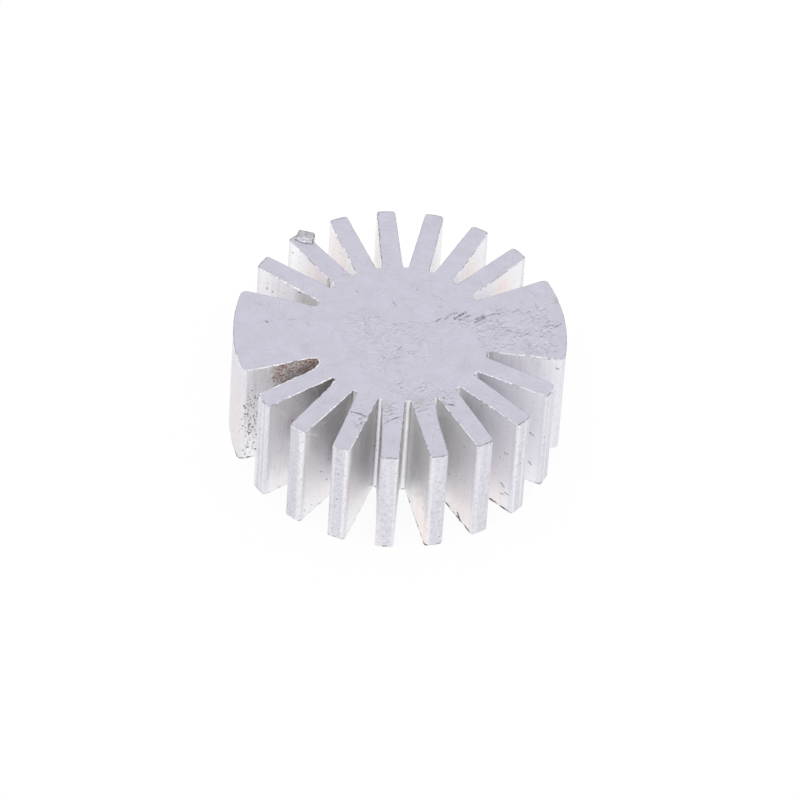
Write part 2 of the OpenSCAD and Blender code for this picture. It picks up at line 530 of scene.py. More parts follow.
# Hatched places on the top: middle and spread in mm, strokes, their angle and how much it varies, in degrees
HATCHED = (
    ((6.3, 1.2), 0.5, 14, 25, 12), ((8.5, 2), 0.5, 12, 20, 15), ((9.5, 0.9), 0.7, 20, 30, 15),
    ((10.8, 0.3), 0.6, 34, 35, 15), ((8.9, -0.4), 0.8, 16, 15, 25), ((6.9, -0.3), 0.8, 34, 35, 12),
    ((9.6, -2.1), 0.4, 12, 40, 30), ((11.1, -2), 0.4, 12, 40, 30), ((-0.3, -0.4), 1.2, 20, 60, 60),
    ((-2.6, 1), 0.4, 8, 90, 60), ((-1, -2.4), 0.7, 10, 10, 30), ((2.6, -6.8), 0.5, 12, 30, 60),
    ((0.8, -5.5), 1.1, 16, 40, 60), ((0.9, -7.8), 0.7, 14, 60, 60), ((-3.6, -8.4), 0.6, 12, 60, 60),
    ((6.8, -7.4), 0.6, 5, 40, 60), ((-10.4, -5.9), 0.4, 8, 30, 60),
)
HATCH_LENGTH = (0.08, 0.6)  # mm
HATCH_DARKNESS = (0.12, 0.55)

# Soft patches, by the value that they give: middle and reach in mm, then strength
SOFT_PATCHES = {
    "stained": (
        ((-8.2, -2.5, 9), (3.4, 1, 4), 0.85), ((-6.6, -2.3, 9), (1.8, 1, 5), 0.95),
        ((-6.4, -4.4, 9.2), (2.6, 1.4, 4.4), 0.5), ((-4.9, -5.8, 9), (2, 2, 4.4), 0.35),
        ((-0.8, 9.6, 10), (0.4, 3.4, 0.6), 0.6), ((-3.5, 9.4, 10), (1.4, 3.2, 0.6), 0.5),
        ((-4.8, 5.8, 9.6), (0.5, 0.6, 1.4), 0.65), ((-9.7, -2.75, 7.8), (1, 0.6, 0.9), 0.7),
    ),
    "rusted": (
        ((-9.3, -2.7, 9.6), (1, 0.6, 0.9), 1), ((-7.8, -2.4, 8.9), (0.7, 0.6, 0.7), 0.8),
        ((-6.6, -2.2, 9.6), (0.6, 0.6, 0.8), 1),
    ),
    "pitted": (
        ((-11.2, -3.1, 5), (1, 0.7, 2.8), 1), ((-11.2, -3.1, 2.2), (1, 0.7, 3), 0.6),
        ((-2, -6.4, 5), (0.6, 0.5, 9), 0.1),
    ),
    "lined": (
        ((8.8, -2.6, 9), (3.6, 1, 4.4), 0.4), ((-10.4, -2.9, 8), (2.4, 1, 6), 0.65),
        ((-9.4, -6, 5), (2.5, 2, 6), 0.4), ((-8, 5.6, 8), (3, 2.4, 5), 0.4),
        ((-2, -6.4, 5), (0.7, 0.6, 9), 0.4), ((0, -6.7, 5), (0.8, 0.6, 9), 0.7),
    ),
    # Painted shade: soft darker patches on the rear, wedge and root flanks
    "dulled": (
        ((-8.2, 5.8, 6), (4.4, 3.2, 9), 0.55), ((-5.9, 7.5, 6), (2, 4, 9), 0.4),
        ((-3.6, 9.2, 6), (1.2, 4, 9), 0.35), ((-12.3, -1, 5), (0.8, 3.6, 8), 0.6),
        ((9, -2.6, 7), (4.4, 1, 6), 0.2), ((-2, -6.4, 5), (0.8, 0.6, 9), 0.3),
        ((-10.6, -3, 6), (2, 0.8, 7), 0.3), ((-9.2, -6.2, 4.6), (1.8, 1.8, 6), 0.35),
    ),
    "shaded": (
        ((-5.3, -4.2, 9.6), (0.5, 0.5, 2.4), 0.85), ((-3.8, -5.6, 9.6), (0.6, 0.6, 2.4), 0.45),
        ((3.8, -5.6, 9.6), (0.6, 0.6, 2.4), 0.15), ((5.3, -4.2, 9.6), (0.6, 0.6, 2), 0.2),
        ((6.3, -2.4, 9.6), (0.6, 0.6, 2), 0.4), ((-6.5, 4.2, 9.5), (1.6, 1.2, 3), 0.4),
        ((-6.6, -4.6, 9.4), (3, 1.8, 4), 0.25), ((0.5, -7.3, 7.4), (0.3, 0.8, 6), 0.12),
        ((-4.5, -6, 8.4), (0.9, 0.9, 2.6), 0.15), ((-8.4, -5.7, 6.8), (1.2, 0.9, 1.8), 0.25),
        ((-5.4, -6.9, 5.2), (1, 1, 1.8), 0.25),
    ),
    "frosted": (
        ((-7.8, -9.5, 8.6), (0.8, 0.8, 2.8), 0.5), ((-4.7, -11.3, 8.6), (0.5, 0.8, 2.8), 0.5),
        ((-4, -9.9, 8.6), (0.4, 0.6, 1.6), 0.2),
    ),
    "polished": (
        ((0.9, -9.8, 2), (0.8, 3.4, 4), 1),
    ),
    # Painted reflection: a pink tint low on the front flanks and on the rear flanks, where they reflect the
    # floor
    "warmed": (
        ((1, -10.8, 0.5), (0.8, 4, 5.2), 1), ((3.9, -10, 0), (1.6, 4, 5.4), 0.6),
        ((-2.6, -10.2, 0), (1.2, 3.6, 4.6), 0.6), ((6.4, -8.6, 0), (1.6, 3, 4.4), 0.5),
        ((-5.6, -9, 0), (1.6, 3, 3.6), 0.4), ((-8.4, -6.4, 0), (2, 2, 3.6), 0.4),
        ((-3.7, 9.4, 6), (1.6, 3.2, 6.5), 1), ((-5.8, 7.2, 6), (1.6, 2.6, 6.5), 0.8),
        ((6, 7.4, 6), (1.8, 2.6, 6.5), 0.8), ((8.2, 5.6, 6), (1.8, 2, 6.5), 0.7),
        ((-0.9, 9.6, 6), (0.6, 3, 6.5), 0.8), ((-12.2, -1.4, 4), (0.8, 2.6, 6), 0.6),
    ),
}

# Soft patches on the top face alone: the value, how far down it reaches in mm, then its patches as above
TOP_PATCHES = (
    ("scuffed", 1, (
        ((6.8, 0.2), (2, 1.6), 1), ((4.8, 0.8), (1.8, 0.8), 0.6), ((8, 1.8), (2.2, 0.7), 0.9),
        ((8.8, -0.4), (1.8, 0.8), 1), ((10.8, 0.2), (1.6, 1.8), 1), ((10.4, 1.6), (1.2, 1), 0.8),
        ((7.6, -1.7), (2.8, 1.4), 0.6), ((9.9, -2), (1.2, 0.8), 0.9), ((11.2, -1.9), (0.9, 1.2), 0.9),
        ((-0.6, -1), (4.6, 4.2), 0.4), ((-2.6, 0.8), (2.2, 2.2), 0.5), ((2.8, -6.6), (1.6, 1.6), 0.5),
        ((-3.4, -8.4), (1.2, 2), 0.8), ((0.9, -7), (1.2, 1.5), 0.4), ((-1.3, -7.8), (1.2, 1.6), 0.8),
        ((2.6, -9.4), (1.2, 1.6), 0.6), ((0.8, -5.5), (3.2, 1.2), 0.6), ((6.6, -7.2), (1.4, 1.2), 0.35),
    )),
    ("smudged", 0.5, (
        ((-7.3, -1.1), (0.6, 0.8), 0.5), ((4.5, -3.4), (0.8, 0.6), 0.6), ((12, 2.7), (0.4, 0.6), 1),
        ((0.8, -7), (0.7, 1), 0.7), ((-1.6, -7.3), (0.4, 0.9), 0.8),
    )),
)

# Painted highlights: bright upright bands at the tips' rounded corners: angle about Z and half width, in
# degrees, then strength
TIP_HIGHLIGHTS = (
    (208.2, 0.5, 0.5), (210.6, 0.25, 1), (212.4, 0.4, 0.6), (229.4, 0.9, 0.8), (246.6, 0.5, 0.8),
    (264.2, 0.4, 0.8), (242.2, 0.4, 0.5), (276.4, 0.5, 0.5), (293.6, 0.4, 0.5), (310.3, 0.3, 0.9),
    (313.6, 0.4, 0.8), (328.6, 0.4, 0.6),
)

# Small dark marks on the flanks: angle about Z in degrees, then distance from the axis and height of each
# mark's two ends, in mm
FLANK_MARKS = (
    (214, (10.2, 7.2), (10.3, 6.9)), (231, (10.2, 3.8), (10.1, 3.7)), (232, (9.5, 2.3), (9.4, 2.2)),
    (309, (11.3, 2.7), (11.6, 2.4)), (309, (11.3, 1.5), (11.6, 1.6)), (309, (11.7, 1.9), (12.1, 1.9)),
    (309, (11.4, 6.2), (11.5, 6.1)), (326, (11.3, 5.4), (11.6, 5.2)), (326, (11.4, 2.2), (11.6, 1.9)),
    (292, (10.7, 8.3), (10.7, 8.2)), (275, (11.5, 3.4), (11.5, 3.2)), (274, (8.9, 4.6), (9, 4.2)),
    (308, (8.9, 9.5), (8.9, 9.4)), (345, (11.9, 9), (12.1, 8.9)), (145, (11.5, 8.4), (11.5, 8.2)),
    (147, (8.5, 9.8), (8.7, 9.7)), (130, (7.5, 9.6), (7.4, 9.3)), (111, (10, 9), (10, 8.9)),
    (111, (10.9, 9.7), (10.9, 9.6)), (128, (11.9, 9.1), (11.9, 9)), (145, (11, 8.3), (11, 8.2)),
)
PALE_FLANK_MARKS = (
    (231, (12, 9.6), (10.6, 8.1)), (231, (11.6, 9.1), (10.9, 8.7)), (231, (10.4, 9.6), (10.2, 8.9)),
    (214, (11.7, 9.3), (10.6, 7.6)),
)
FLANK_MARK_R = 0.075  # mm
FLANK_MARK_SPAN = math.radians(3)  # a mark shows only this close to its angle


def inside(points, ring):
    """Which points are inside the closed ring."""
    crossings = np.zeros(len(points), int)
    for (x0, y0), (x1, y1) in zip(ring, np.roll(ring, -1, 0)):
        straddles = (y0 > points[:, 1]) != (y1 > points[:, 1])
        if y0 != y1:
            crossings += straddles & (points[:, 0] < x0 + (points[:, 1] - y0) * (x1 - x0) / (y1 - y0))
    return crossings % 2 == 1


def gaps_to(points, others):
    """How far each point is from the nearest of the others."""
    tree = kdtree.KDTree(len(others))
    for i, other in enumerate(others):
        tree.insert((other[0], other[1], 0), i)
    tree.balance()
    return np.array([tree.find((x, y, 0))[2] for x, y in points])


def short_mark(start, course, lengths, darknesses):
    """One short mark as width, darkness and two ends; a bright one has a darkness below zero."""
    end = start + chance.uniform(*lengths) * heading(course)
    darkness = chance.uniform(*darknesses) * (-1 if chance.random() < PALE_SHARE else 1)
    return chance.uniform(*MARK_WIDTH), darkness, start, end


def small_marks():
    """Short marks all over the top, thickest on the core, and the hatched places."""
    marks = []
    for _ in range(STRAY_MARKS):
        reach = 0.92 * rim_r / MM * chance.uniform(0.05, 1) ** 0.8
        turn, course = chance.uniform(0, 2 * math.pi, 2)
        start = reach * heading(turn)
        marks.append(short_mark(start, course, STRAY_LENGTH, STRAY_DARKNESS))
    for middle, spread, strokes, angle, loose in HATCHED:
        for _ in range(strokes):
            start = np.array(middle) + chance.normal(0, spread, 2)
            course = math.radians(angle + chance.normal(0, loose))
            marks.append(short_mark(start, course, HATCH_LENGTH, HATCH_DARKNESS))
    return marks


def points_along(marks):
    """Points across and along every mark, and how deep each lies, from -1 to 1."""
    points, depths = [], []
    for width, darkness, *stops in marks:
        line = np.array(stops) * MM
        for start, end in zip(line[:-1], line[1:]):
            length = np.linalg.norm(end - start)
            course = (end - start) / length
            across = np.array([-course[1], course[0]])
            for share in np.linspace(0, 1, max(2, round(length / SCRATCH_STEP) + 1)):
                middle = start + (end - start) * share + across * chance.normal(0, MARK_WANDER)
                firmness = darkness * chance.uniform(*MARK_FIRMNESS)
                for side, depth in GROOVE:
                    points.append(middle + across * side * width * chance.uniform(0.8, 1.2) * MM)
                    depths.append(depth * firmness)
    return np.array(points), np.array(depths)


def scratch_points(ring):
    """The points of the scratches within the ring, and of the small marks that are clear of them."""
    points, depths = points_along(SCRATCHES)
    small, small_depths = points_along(small_marks())
    clear = gaps_to(small, points) > MARK_GAP
    points = np.vstack([points, small[clear]])
    depths = np.concatenate([depths, small_depths[clear]])
    on_face = inside(points, ring) & (gaps_to(points, ring) > RING_GAP)
    return points[on_face], depths[on_face]


def fill(ring, step, marks=None):
    """Points and triangles that fill a closed ring; the ring's own points come first, then the marks."""
    low, high = ring.min(0), ring.max(0)
    columns = np.arange(low[0], high[0], step)
    rows = np.arange(low[1], high[1], step * math.sqrt(3) / 2)
    grid = np.array([(x + (j % 2) * step / 2, y) for j, y in enumerate(rows) for x in columns])
    grid += chance.uniform(-GRID_JITTER, GRID_JITTER, grid.shape) * step
    grid = grid[inside(grid, ring)]
    grid = grid[gaps_to(grid, ring) > step * 0.5]
    parts = [ring]
    if marks is not None:
        grid = grid[gaps_to(grid, marks) > MARK_GAP]
        parts.append(marks)
    points = np.vstack(parts + [grid])
    made = delaunay_2d_cdt([Vector(p) for p in points / MM], [], [list(range(len(ring)))], 1, 1e-6)
    back = [sources[0] for sources in made[3]]
    return points, [[back[i] for i in face] for face in made[2]]


def patches(points, spots):
    """How strongly each point lies in the soft patches, 0 to 1."""
    most = np.zeros(len(points))
    for middle, reach, strength in spots:
        gap = np.linalg.norm((points / MM - middle) / reach, axis=1)
        most = np.maximum(most, strength * (1 - step_up(gap, 0.35, 1.0)))
    return most


def edge_nicks(places, whole, points, normals):
    """Small chips along the top edge, and closer, deeper ones on the ragged left edge of the rear fin."""
    rear = (points[:, 1] > 0.56 * rim_r) & (np.abs(points[:, 0]) < 0.1 * rim_r)
    ragged = chance.choice(places[rear & (normals[:, 0] < -0.9)], RAGGED_NICKS)
    depth = np.zeros(len(places))
    for centres, least in ((chance.uniform(0, whole, NICK_COUNT), 0.04), (ragged, 0.5)):
        for centre in centres:
            gap = np.abs((places - centre + whole / 2) % whole - whole / 2)
            share = 1 - gap / chance.uniform(*NICK_WIDTH)
            deepest = NICK_DEPTH * max(least, chance.uniform(0.2, 1.0) ** 2)
            depth = np.maximum(depth, np.clip(share, 0, 1) ** 0.7 * deepest)
    return depth


def ring_faces(count, total):
    """Four-sided faces between each ring of that many points and the next."""
    here = np.arange(count)
    after = np.roll(here, -1)
    first = np.column_stack([here, after, count + after, count + here])
    return [face for ring in range(total - 1) for face in (first + ring * count).tolist()]


def stack(layers, bottom_step, top_step, marks=None):
    """A closed skin of rings, from the bottom up, with a filled cap at each end.

    The vertices are the rings', then those inside the bottom cap, then those inside the top cap,
    the marks first. Also gives the faces, the ring below each face, and where the top's own begin.
    """
    count, last = len(layers[0]), len(layers) - 1
    faces, vertices = ring_faces(count, len(layers)), np.vstack(layers)
    rows = np.repeat(np.arange(last), count).tolist()
    for ring, step, placed, order in ((0, bottom_step, None, -1), (last, top_step, marks, 1)):
        cap, cap_faces = fill(layers[ring][:, :2], step, placed)
        first_inner, inner = len(vertices), cap[count:]
        own = [*range(ring * count, (ring + 1) * count), *range(first_inner, first_inner + len(inner))]
        faces.extend([own[i] for i in face][::order] for face in cap_faces)
        rows.extend([ring] * len(cap_faces))
        level = np.full(len(inner), layers[ring][:, 2].mean())
        vertices = np.vstack([vertices, np.column_stack([inner, level])])
    return vertices, faces, np.array(rows), first_inner


def make_piece(name, vertices, faces, kinds, materials, floats):
    """A smooth mesh object with one material index for each face and named values for each vertex."""
    vertices = np.clip(vertices, np.array(cad_low), np.array(cad_high))
    mesh = bpy.data.meshes.new(name)
    mesh.from_pydata(vertices.tolist(), [], faces)
    mesh.polygons.foreach_set("material_index", kinds)
    mesh.polygons.foreach_set("use_smooth", [True] * len(faces))
    for material in materials:
        mesh.materials.append(material)
    for key, values in floats.items():
        mesh.attributes.new(key, "FLOAT", "POINT").data.foreach_set("value", values.astype(np.float32))
    mesh.validate()
    piece = add_object(name, mesh)
    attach(piece, "root")
    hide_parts(NODE)
    return piece


DRAWN, SAWN, BURR = range(3)  # the order of the body's materials


def burr_along(points, normals, places, whole, tip_face):
    """The burr's share of its full size at each point of the outline."""
    facing = normals @ -np.array(away.xy)
    radius, bearing = np.linalg.norm(points, axis=1), bearing_of(points)
    x, y = points.T
    ragged = 0.35 * random_line(places, whole, 1.3 * MM) + 0.4 * random_line(places, whole, 0.31 * MM)
    ragged += 0.25 * random_line(places, whole, 0.13 * MM)
    burr = step_up(facing, 0.05, 0.5) * np.clip(BURR_USUAL + ragged, 0, BURR_MOST)
    front_share = 1.25 - 0.85 * step_up(bearing, *FRONT_FALL) + 0.3 * step_up(bearing, *FRONT_RISE)
    rear_share = 1.25 - 0.7 * step_up(x, -0.4 * rim_r, 0.6 * rim_r)
    burr *= np.where(bearing > 180, front_share, rear_share)
    burr *= 1 - 0.65 * within(bearing, THIN_REAR)
    burr *= 1 - tip_face * step_up(x, -0.35 * rim_r, -0.2 * rim_r)
    right_wedge = (x > 0.5 * rim_r) & (np.abs(y) < 0.8 * WEDGE_HALF)
    burr *= 1 - np.where(y < 0, 0.5, 0.8) * right_wedge
    last_tip = within(bearing, LAST_TIP) & (radius > 0.97 * rim_r)
    first_fin = within(bearing, FIRST_FIN) & (facing < -0.3)
    gap_ends = within(bearing, LEFT_GAPS) & (radius < 0.59 * rim_r)
    thick = within(bearing, THICK_BURR) & (radius < 0.68 * rim_r)
    for where, share, usual, most in ((last_tip, 0.9, BURR_USUAL, BURR_MOST),
                                      (first_fin, 0.75, BURR_USUAL, BURR_MOST),
                                      (gap_ends, 1, 0.8, BURR_MOST), (thick, 1, 1.3, 1.7)):
        burr = np.maximum(burr, share * where * np.clip(usual + ragged, 0, most))
    return burr


def make_body(materials):
    """The extrusion: side rings from the bottom edge to the top edge, and two filled cut faces."""
    points, normals, places = refine(trace_outline(solid, cad_low.z))
    points = move_sides(points, normals)
    count, whole = len(points), length_of(points)
    radius, bearing = np.linalg.norm(points, axis=1), bearing_of(points)
    radial = np.einsum("ij,ij->i", normals, points) / radius
    x, y = points.T
    tip_face = step_up(radial, 0.35, 0.8) * (radius > 0.9 * rim_r) * (np.abs(y) >= WEDGE_HALF)
    burr = burr_along(points, normals, places, whole, tip_face)
    nick = edge_nicks(places, whole, points, normals)
    wear = EDGE_WEAR * (1 + 0.5 * random_line(places, whole, 0.4 * MM)) + 0.8 * nick
    foot = FOOT_WEAR * (1.2 + 0.8 * random_line(places, whole, 0.3 * MM))
    drawn = sum(depth * random_line(places, whole, pitch) for pitch, depth in DIE_LINES)
    level = np.zeros(count)
    rough_foot = (y < -0.6 * rim_r) & (x > -0.1 * rim_r) & (normals[:, 0] < 0)
    rough_foot &= radius > np.where(bearing < LONG_FOOT_END, 0.64, 0.8) * rim_r
    rough_foot |= within(bearing, LEFT_CORNER) & (radius > 0.93 * rim_r)
    foot_line = FOOT_LINE + (ROUGH_FOOT_LINE - FOOT_LINE) * rough_foot

    # Each ring is how far it stands out from the outline, and its height
    rings = [(level - CAP_INSET, level), (-foot, level), (drawn, level + foot), (drawn, foot_line)]
    for height in np.linspace(1.5 * ROUGH_FOOT_LINE, top_z - SIDE_END, SIDE_LEVELS):
        rings.append((drawn, level + height))
    last_side = len(rings)
    rings += [
        (drawn + 0.1 * BURR_OUT * burr - 0.2 * nick, top_z - BURR_START + level),
        (drawn + 0.85 * BURR_OUT * burr - nick, top_z - wear + 0.2 * BURR_UP * burr),
        (BURR_OUT * burr - 0.3 * wear - nick, top_z - 0.3 * wear + 0.6 * BURR_UP * burr),
        (0.4 * BURR_OUT * burr - wear - nick, top_z - 0.3 * nick + BURR_UP * burr),
        (-0.4 * EDGE_WEAR - wear - nick, top_z + 0.3 * BURR_UP * burr),
        (level - CAP_INSET - nick, top_z + level),
    ]
    layers = [np.column_stack([points + normals * out[:, None], height]) for out, height in rings]
    marks, mark_depths = scratch_points(layers[-1][:, :2])
    vertices, faces, rows, first_mark = stack(layers, BASE_STEP, TOP_STEP, marks)
    on_marks = slice(first_mark, first_mark + len(marks))
    vertices[on_marks, 2] -= SCRATCH_DEPTH * mark_depths

    kinds = np.where((rows == 0) | (rows > last_side), SAWN, DRAWN)
    burred = np.tile(burr > BURR_SHOWN, len(rings))[: (len(rings) - 1) * count]
    on_edge = (rows > last_side) & (rows < len(rings) - 2)
    kinds[: len(burred)][burred & on_edge[: len(burred)]] = BURR

    def on_rings(value, first=1, last=len(rings)):
        values = np.zeros(len(vertices))
        values[first * count:last * count] = np.tile(value, last - first)
        return values

    band = np.zeros(count)
    for angle, half_width, strength in TIP_HIGHLIGHTS:
        aside = np.abs(bearing - angle) / half_width
        band = np.maximum(band, strength * (1 - step_up(aside, 0.5, 1.5)))
    tip = np.maximum(tip_face, 0.5 * step_up(radius, 0.955 * rim_r, 0.985 * rim_r))
    # Painted shade along the top edges where there is little burr
    edge = np.clip(1 - burr * 1.6, 0, 1)
    # Painted shade along the fillets where the core's wall meets the flanks
    crease = step_up(radial, 0.7, 0.4) * step_up(radius, 0.567 * rim_r, 0.555 * rim_r)
    floats = {
        "along": on_rings(places / MM, 0),
        "tip": on_rings(tip),
        "band": on_rings(band * tip_face),
        "edge": (on_rings(edge, last_side + 1, last_side + 4)
                 + on_rings(edge * tip_face, last_side + 4, last_side + 5)),
        # Painted shadow: a dark line along the bottom edge, stronger where that edge is roughest
        "foot": on_rings(0.5 + 0.5 * rough_foot, 1, 4),
        "crease": on_rings(crease * within(bearing, NEAR_GAP)),
        "scuff": np.zeros(len(vertices)),
    }
    floats["scuff"][on_marks] = mark_depths
    for name, spots in SOFT_PATCHES.items():
        floats[name] = patches(vertices, spots)
    for name, depth, spots in TOP_PATCHES:
        raised = [((*middle, top_z / MM), (*reach, depth), strength) for middle, reach, strength in spots]
        floats[name] = patches(vertices, raised)
    return make_piece(NODE + "_body", vertices, faces, kinds, materials, floats)


def make_nib(materials):
    """The torn tab: a small block with a bright ragged wall, a dull top and a painted shadow line at its
    foot.
    """
    high = np.array([vertex.co for vertex in solid.vertices if vertex.co.z > top_z + NIB_LEAST])
    spread = high[:, :2] - (high[:, :2].max(0) + high[:, :2].min(0)) / 2
    corners = high[np.argsort(np.arctan2(spread[:, 1], spread[:, 0])), :2]
    whole = length_of(corners)
    count = round(whole / NIB_STEP)
    places = np.arange(count) * whole / count
    ring = walk(corners, places)
    course = np.roll(ring, -1, 0) - np.roll(ring, 1, 0)
    normals = unit(np.column_stack([course[:, 1], -course[:, 0]]))
    front = normals @ -np.array(away.xy) > 0.35
    middle = ring.mean(0)
    outward = unit(ring - middle)

    def seen_from_middle(points):
        return (points - middle) @ np.array(right.xy), (points - middle) @ np.array(away.xy)

    def top_of(points):
        across, depth = seen_from_middle(points)
        near_left = (1 - step_up(across, *NIB_LEFT)) * (1 - step_up(depth, *NIB_NEAR))
        return high[:, 2].max() - NIB_ROUGH - NIB_TILT * near_left

    level, top, plain = np.full(count, top_z), top_of(ring), np.zeros(count)
    rings = [(plain - NIB_INSET, level - NIB_SINK), (plain, level - NIB_SINK)]
    across = seen_from_middle(ring)[0]
    skirt = NIB_SKIRT * front * step_up(across, *SKIRT_START) * (1 - step_up(across, *SKIRT_END))
    for share in np.linspace(0, 1, NIB_LEVELS):
        rough = NIB_ROUGH * random_line(places, whole, 0.15 * MM)
        rings.append((rough + skirt * (1 - share) ** 2, level + share * (top - level - 1.5 * NIB_ROUND)))
    rings.append((-0.3 * NIB_ROUND + rough, top - 0.5 * NIB_ROUND))
    rings.append((-NIB_ROUND + rough, top))
    rings.append((rough - NIB_INSET, top))
    layers = [np.column_stack([ring + outward * out[:, None], height]) for out, height in rings]
    vertices, faces, rows, first_inner = stack(layers, NIB_STEP, NIB_STEP)
    inner = vertices[first_inner:]
    inner[:, 2] = top_of(inner[:, :2]) + chance.uniform(-1, 1, len(inner)) * NIB_ROUGH

    side = np.arange(len(faces)) < (len(rings) - 1) * count
    kinds = np.where(side & np.resize(front, len(faces)) & (rows < len(rings) - 2), 1, 0)
    # Painted shadow: dark at the nib's foot, fading upward
    floats = {"foot": 1 - step_up(vertices[:, 2] - top_z, *NIB_SHADE), "edge": np.zeros(len(vertices))}
    # Painted shade on the top's rim, except on the side that faces the camera's side
    for ring_index in (-4, -3, -2):
        start = (len(rings) + ring_index) * count
        floats["edge"][start:start + count] = ~front
    return make_piece(NODE + "_nib", vertices, faces, kinds, materials, floats)


def make_curl(material):
    """The hair of metal at the foot of a front fin, as a thin closed tube, darkened all over with painted
    shade.
    """
    line = np.array(CURL) * MM
    turns = np.arange(CURL_SIDES) * 2 * math.pi / CURL_SIDES
    course = unit(np.gradient(line, axis=0))
    across = unit(np.cross(course, CURL_FIN))
    upright = np.cross(course, across)
    thickness = CURL_R * np.array(CURL_TAPER)
    vertices = np.vstack([line[i] + thickness[i] * (np.outer(np.cos(turns), across[i])
                                                    + np.outer(np.sin(turns), upright[i]))
                          for i in range(len(line))])
    faces = ring_faces(CURL_SIDES, len(line))
    faces.append(list(range(CURL_SIDES))[::-1])
    faces.append(list(range(len(vertices) - CURL_SIDES, len(vertices))))
    return make_piece(NODE + "_curl", vertices, faces, [0] * len(faces), [material],
                      {"edge": np.ones(len(vertices))})


# Numbers of the materials, with lengths in mm
CORE_EDGE = (6.8, 7.4)  # radii between which the fins take over from the core's wall
STAIN_SHADE_SLOPE = 0.75  # the stain takes painted shade below a line that rises with X at this slope
STAIN_SHADE_END = (14.9, 14.4)  # heights of that line over the axis, between which the painted shade grows
MARK_BEND = 0.1  # how far the placed marks are bent out of line
RUB_ANGLE = math.radians(28)  # the way that the scuffs on the top run


def hairlines(graph, place, cell, width, share):
    """Fine short scratches, one at most in each random cell, each at its own angle."""
    cells = graph.cells(place, cell)
    x, y, _ = graph.split(graph.vector("SUBTRACT", place, graph.wire(cells, "Position")))
    angle_seed, share_seed, _ = graph.split(graph.wire(cells, "Color"))
    angle = angle_seed * math.pi
    cosine, sine = graph.math("COSINE", angle), graph.math("SINE", angle)
    thin = graph.math("ABSOLUTE", y * cosine - x * sine).reach(0.4 * width, width, 1.0, 0.0)
    short = graph.math("ABSOLUTE", x * cosine + y * sine).reach(0.2 * cell, 0.48 * cell, 1.0, 0.0)
    return thin * short * graph.math("LESS_THAN", share_seed, share)


def specks(graph, place, cell, size, share):
    """Small round-ish dark specks, one at most in each random cell."""
    cells = graph.cells(graph.bent(place, 2.5 / cell, cell * 0.35), cell)
    _, share_seed, size_seed = graph.split(graph.wire(cells, "Color"))
    radius = (size_seed + 0.4) * (size / cell)
    inside_it = graph.math("LESS_THAN", graph.wire(cells, "Distance"), radius)
    return inside_it * graph.math("LESS_THAN", share_seed, share)


def flank_marks(graph, place, marks, thickness):
    """The placed marks: short lines in the plane of distance from the axis and height."""
    x, y, z = graph.split(place)
    radius = graph.vector("LENGTH", graph.join(x, y), out="Value")
    outward = graph.vector("NORMALIZE", graph.join(x, y))
    flat = graph.bent(graph.join(radius, z), 9.0, MARK_BEND)
    most = 0.0
    for angle, start, end in marks:
        run = np.subtract(end, start)
        # On average the bend pushes a place on by half its reach
        apart = graph.vector("SUBTRACT", flat, (*np.add(start, MARK_BEND / 2), MARK_BEND / 2))
        share = graph.vector("DOT_PRODUCT", apart, (*run, 0), out="Value")
        share = graph.math("MULTIPLY", share, 1 / (run @ run), clamp=True)
        near = graph.vector("SUBTRACT", apart, graph.scaled((*run, 0), share))
        near = graph.vector("LENGTH", graph.vector("MULTIPLY", near, (1, 1, 0)), out="Value")
        side = graph.vector("DOT_PRODUCT", outward, (*heading(math.radians(angle)), 0), out="Value")
        side = graph.math("GREATER_THAN", side, math.cos(FLANK_MARK_SPAN))
        most = graph.math("MAXIMUM", most, near.reach(0.4 * thickness, thickness, 1.0, 0.0) * side)
    return most


